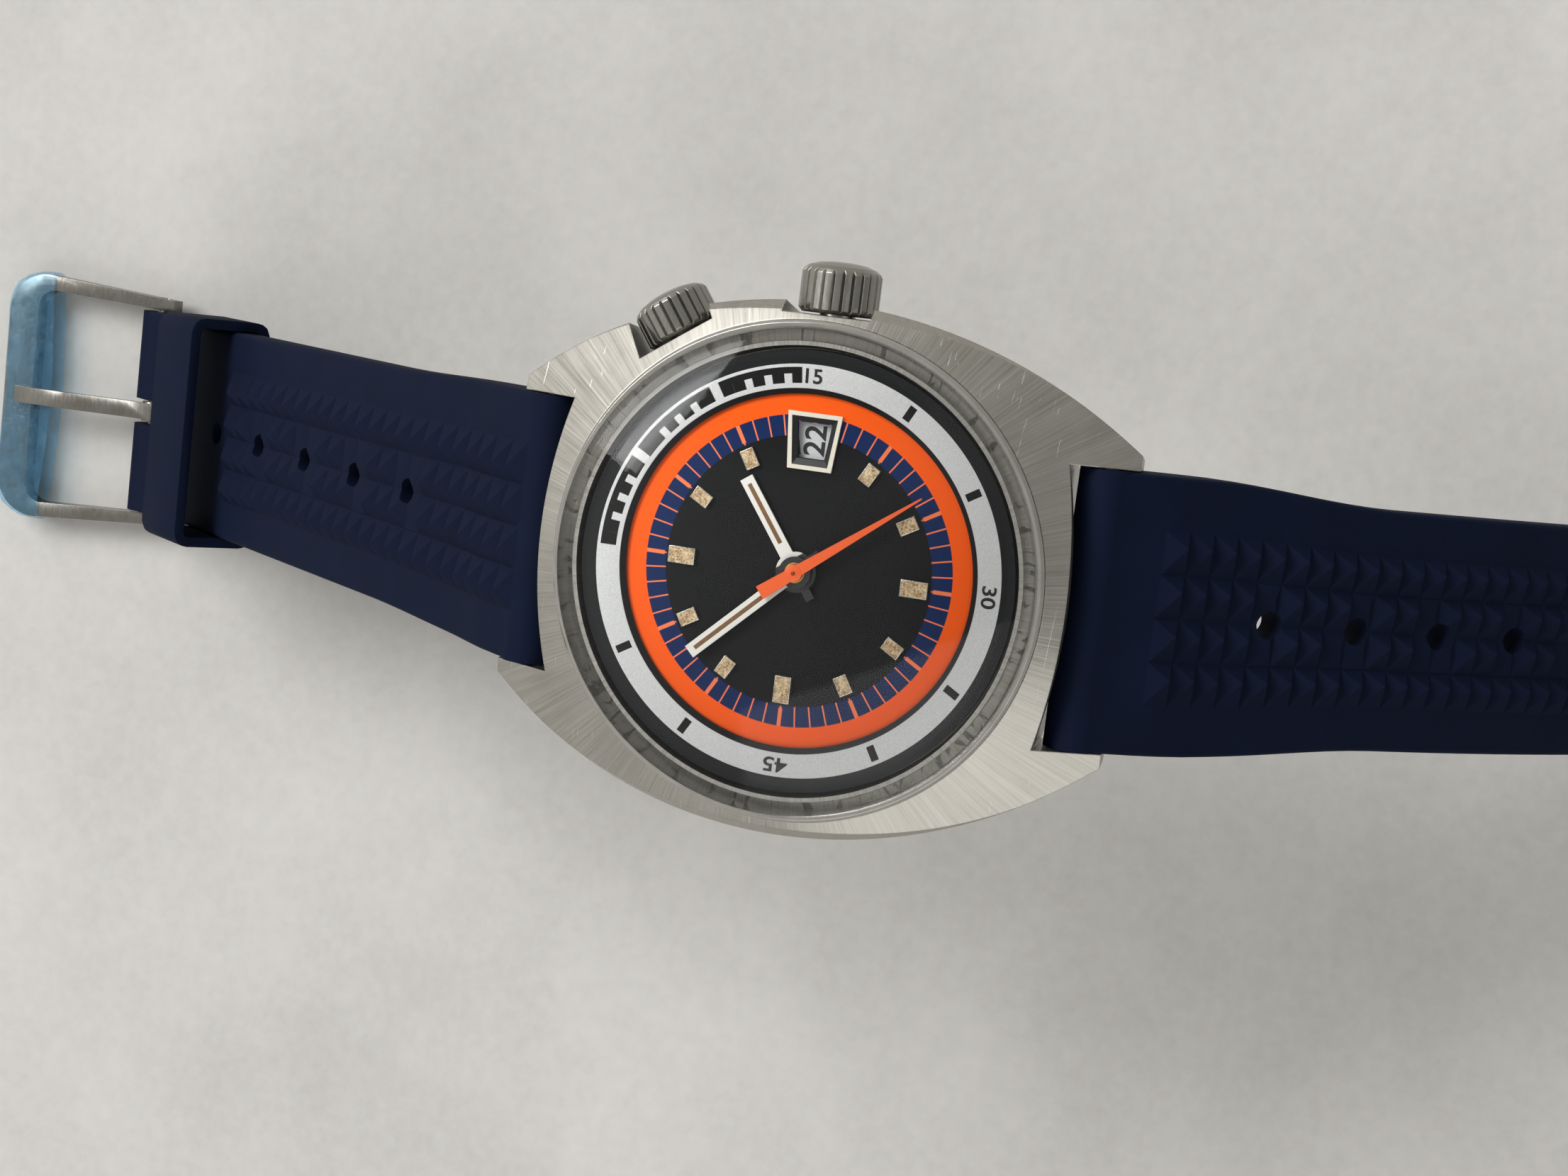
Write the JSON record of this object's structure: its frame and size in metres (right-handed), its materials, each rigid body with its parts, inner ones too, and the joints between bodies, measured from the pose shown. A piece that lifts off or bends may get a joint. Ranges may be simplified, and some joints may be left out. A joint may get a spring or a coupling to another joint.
{
  "type": "automatic watch",
  "caption": "Automatic watch: cushion-shaped steel case with side crowns, an inner rotating ring under a domed crystal, a dial with date, and a rubber strap with a pin buckle.",
  "frame": {"origin": "centre of the case back's flat outer face", "axes": "+Z out of the dial, +Y towards 12 o'clock, +X towards 3 o'clock and the main crown"},
  "size_m": [0.0407, 0.2155, 0.059],
  "materials": {
    "case_steel": "radially brushed",
    "polished_steel": "polished",
    "crown_steel": "polished",
    "crystal": "clear acrylic",
    "marks_silver": "fine-grained silver",
    "casing_plastic": "matte",
    "seal_rubber": "matte",
    "dial_black": "satin",
    "lume_tan": "aged paint",
    "date_cream": "satin",
    "date_white": "satin",
    "hand_white": "satin",
    "seconds_orange": "gloss",
    "plate_nickel": "nickel-plated, grained",
    "brass_gilt": "gilt",
    "pinion_steel": "polished",
    "blued_steel": "heat-blued",
    "rotor_steel": "grained",
    "strap_rubber": "matte",
    "buckle_steel": "polished",
    "film_blue": "clear blue film"
  },
  "bodies": {
    "case": {"mid_case": "case_steel", "caseback": "case_steel", "caseback_gasket": "seal_rubber", "crystal": "crystal", "tension_ring": "case_steel", "bezel_ring": "polished_steel", "main_crown_tube": "polished_steel", "second_crown_tube": "polished_steel", "casing_ring": "casing_plastic", "movement_clamps": "polished_steel", "clamp_screws": "blued_steel", "dial": "dial_black", "hour_markers": "lume_tan", "date_frame": "date_cream", "main_plate": "plate_nickel", "barrel_bridge": "plate_nickel", "train_bridge": "plate_nickel", "pallet_bridge": "plate_nickel", "balance_cock": "plate_nickel", "bridge_screws": "blued_steel", "rotor_screw": "blued_steel", "spring_bars": "polished_steel"},
    "marks_ring": {"marks_ring": "marks_silver"},
    "second_crown": {"second_crown": "crown_steel", "second_crown_seal": "seal_rubber", "second_stem": "brass_gilt"},
    "stem_pinions": {"winding_pinion": "pinion_steel", "sliding_pinion": "pinion_steel"},
    "main_crown": {"main_crown": "crown_steel", "main_crown_seal": "seal_rubber", "winding_stem": "blued_steel"},
    "minute": {"cannon_pinion": "brass_gilt", "minute_hand": "hand_white"},
    "hour": {"hour_wheel": "brass_gilt", "hour_hand": "hand_white"},
    "minute_wheel": {"minute_wheel": "brass_gilt"},
    "date_disc": {"date_disc": "date_white"},
    "seconds": {"fourth_wheel": "brass_gilt", "seconds_hand": "seconds_orange"},
    "third_wheel": {"third_wheel": "brass_gilt"},
    "second_wheel": {"second_wheel": "brass_gilt"},
    "barrel": {"barrel": "brass_gilt"},
    "escape_wheel": {"escape_wheel": "pinion_steel"},
    "pallet_fork": {"pallet_fork": "pinion_steel"},
    "balance": {"balance_wheel": "brass_gilt", "hairspring": "blued_steel"},
    "ratchet": {"ratchet_wheel": "pinion_steel", "barrel_arbor": "pinion_steel", "mainspring": "blued_steel"},
    "crown_wheel": {"crown_wheel": "pinion_steel"},
    "rotor": {"rotor": "rotor_steel"},
    "reverser_wheel": {"reverser_wheel": "brass_gilt"},
    "strap_short": {"strap_short": "strap_rubber"},
    "strap_long": {"strap_long": "strap_rubber"},
    "strap_keeper": {"strap_keeper": "strap_rubber"},
    "buckle": {"buckle_frame": "buckle_steel", "buckle_bar": "polished_steel", "buckle_film": "film_blue"},
    "buckle_tongue": {"buckle_tongue": "buckle_steel"}
  },
  "joints": [
    {"name": "marks_turn", "type": "hinge", "parent": "case", "child": "marks_ring", "pos_m": [0, 0, 0.0085], "axis": [0, 0, 1], "continuous": true},
    {"name": "second_crown_turn", "type": "hinge", "parent": "case", "child": "second_crown", "pos_m": [0, 0, 0.0051], "axis": [0.8192, 0.5736, 0], "continuous": true},
    {"name": "crown_turn", "type": "hinge", "parent": "case", "child": "stem_pinions", "pos_m": [0, 0, 0.0051], "axis": [1, 0, 0], "continuous": true},
    {"name": "crown_pull", "type": "slide", "parent": "stem_pinions", "child": "main_crown", "axis": [1, 0, 0], "range_m": [0, 0.0012]},
    {"name": "minute_turn", "type": "hinge", "parent": "case", "child": "minute", "pos_m": [0, 0, 0.0089], "axis": [0, 0, 1], "continuous": true},
    {"name": "hour_turn", "type": "hinge", "parent": "case", "child": "hour", "pos_m": [0, 0, 0.0085], "axis": [0, 0, 1], "continuous": true},
    {"name": "minute_wheel_turn", "type": "hinge", "parent": "case", "child": "minute_wheel", "pos_m": [-0.00255, -0.00255, 0.007], "axis": [0, 0, 1], "continuous": true},
    {"name": "date_turn", "type": "hinge", "parent": "case", "child": "date_disc", "pos_m": [0, 0, 0.0074], "axis": [0, 0, 1], "continuous": true},
    {"name": "seconds_turn", "type": "hinge", "parent": "case", "child": "seconds", "pos_m": [0, 0, 0.003], "axis": [0, 0, 1], "continuous": true},
    {"name": "third_wheel_turn", "type": "hinge", "parent": "case", "child": "third_wheel", "pos_m": [-0.00298, 0.00279, 0.0033], "axis": [0, 0, 1], "continuous": true},
    {"name": "second_wheel_turn", "type": "hinge", "parent": "case", "child": "second_wheel", "pos_m": [-0.00198, 0.00723, 0.0035], "axis": [0, 0, 1], "continuous": true},
    {"name": "barrel_turn", "type": "hinge", "parent": "case", "child": "barrel", "pos_m": [0.0035, 0.00606, 0.0042], "axis": [0, 0, 1], "continuous": true},
    {"name": "escape_turn", "type": "hinge", "parent": "case", "child": "escape_wheel", "pos_m": [-0.00065, -0.00368, 0.0035], "axis": [0, 0, 1], "continuous": true},
    {"name": "pallet_swing", "type": "hinge", "parent": "case", "child": "pallet_fork", "pos_m": [0.0008, -0.0062, 0.0036], "axis": [0, 0, 1], "range_deg": [-4, 4]},
    {"name": "balance_swing", "type": "hinge", "parent": "case", "child": "balance", "pos_m": [0.0052, -0.007, 0.0033], "axis": [0, 0, 1], "range_deg": [-150, 150], "stiffness_Nm_per_rad": 0.0000001},
    {"name": "ratchet_turn", "type": "hinge", "parent": "case", "child": "ratchet", "pos_m": [0.0035, 0.00606, 0.0021], "axis": [0, 0, 1], "continuous": true},
    {"name": "crown_wheel_turn", "type": "hinge", "parent": "case", "child": "crown_wheel", "pos_m": [0.00718, 0.00239, 0.0021], "axis": [0, 0, 1], "continuous": true},
    {"name": "rotor_turn", "type": "hinge", "parent": "case", "child": "rotor", "pos_m": [0, 0, 0.0017], "axis": [0, 0, 1], "continuous": true},
    {"name": "reverser_turn", "type": "hinge", "parent": "case", "child": "reverser_wheel", "pos_m": [-0.00376, -0.00137, 0.0021], "axis": [0, 0, 1], "continuous": true},
    {"name": "short_half_hinge", "type": "hinge", "parent": "case", "child": "strap_short", "pos_m": [0, 0.0203, 0.0045], "axis": [1, 0, 0], "range_deg": [-35, 38]},
    {"name": "long_half_hinge", "type": "hinge", "parent": "case", "child": "strap_long", "pos_m": [0, -0.0203, 0.0045], "axis": [-1, 0, 0], "range_deg": [-35, 28]},
    {"name": "keeper_slide", "type": "slide", "parent": "strap_short", "child": "strap_keeper", "axis": [0, 0.766, -0.6428], "range_m": [-0.02, 0.0005]},
    {"name": "buckle_hinge", "type": "hinge", "parent": "strap_short", "child": "buckle", "pos_m": [0, 0.07814, -0.04403], "axis": [1, 0, 0], "range_deg": [-40, 10]},
    {"name": "tongue_hinge", "type": "hinge", "parent": "buckle", "child": "buckle_tongue", "pos_m": [0, 0.07814, -0.04403], "axis": [1, 0, 0], "range_deg": [0, 70]}
  ],
  "couplings": [
    {"joint": "second_crown_turn", "follows": "marks_turn", "ratio": -11},
    {"joint": "hour_turn", "follows": "minute_turn", "ratio": 0.083333},
    {"joint": "minute_wheel_turn", "follows": "minute_turn", "ratio": -0.33333},
    {"joint": "third_wheel_turn", "follows": "seconds_turn", "ratio": -0.13333},
    {"joint": "second_wheel_turn", "follows": "seconds_turn", "ratio": 0.022222},
    {"joint": "barrel_turn", "follows": "seconds_turn", "ratio": -0.0031746},
    {"joint": "escape_turn", "follows": "seconds_turn", "ratio": -10},
    {"joint": "crown_wheel_turn", "follows": "ratchet_turn", "ratio": -1.6},
    {"joint": "reverser_turn", "follows": "rotor_turn", "ratio": -0.66667}
  ]
}
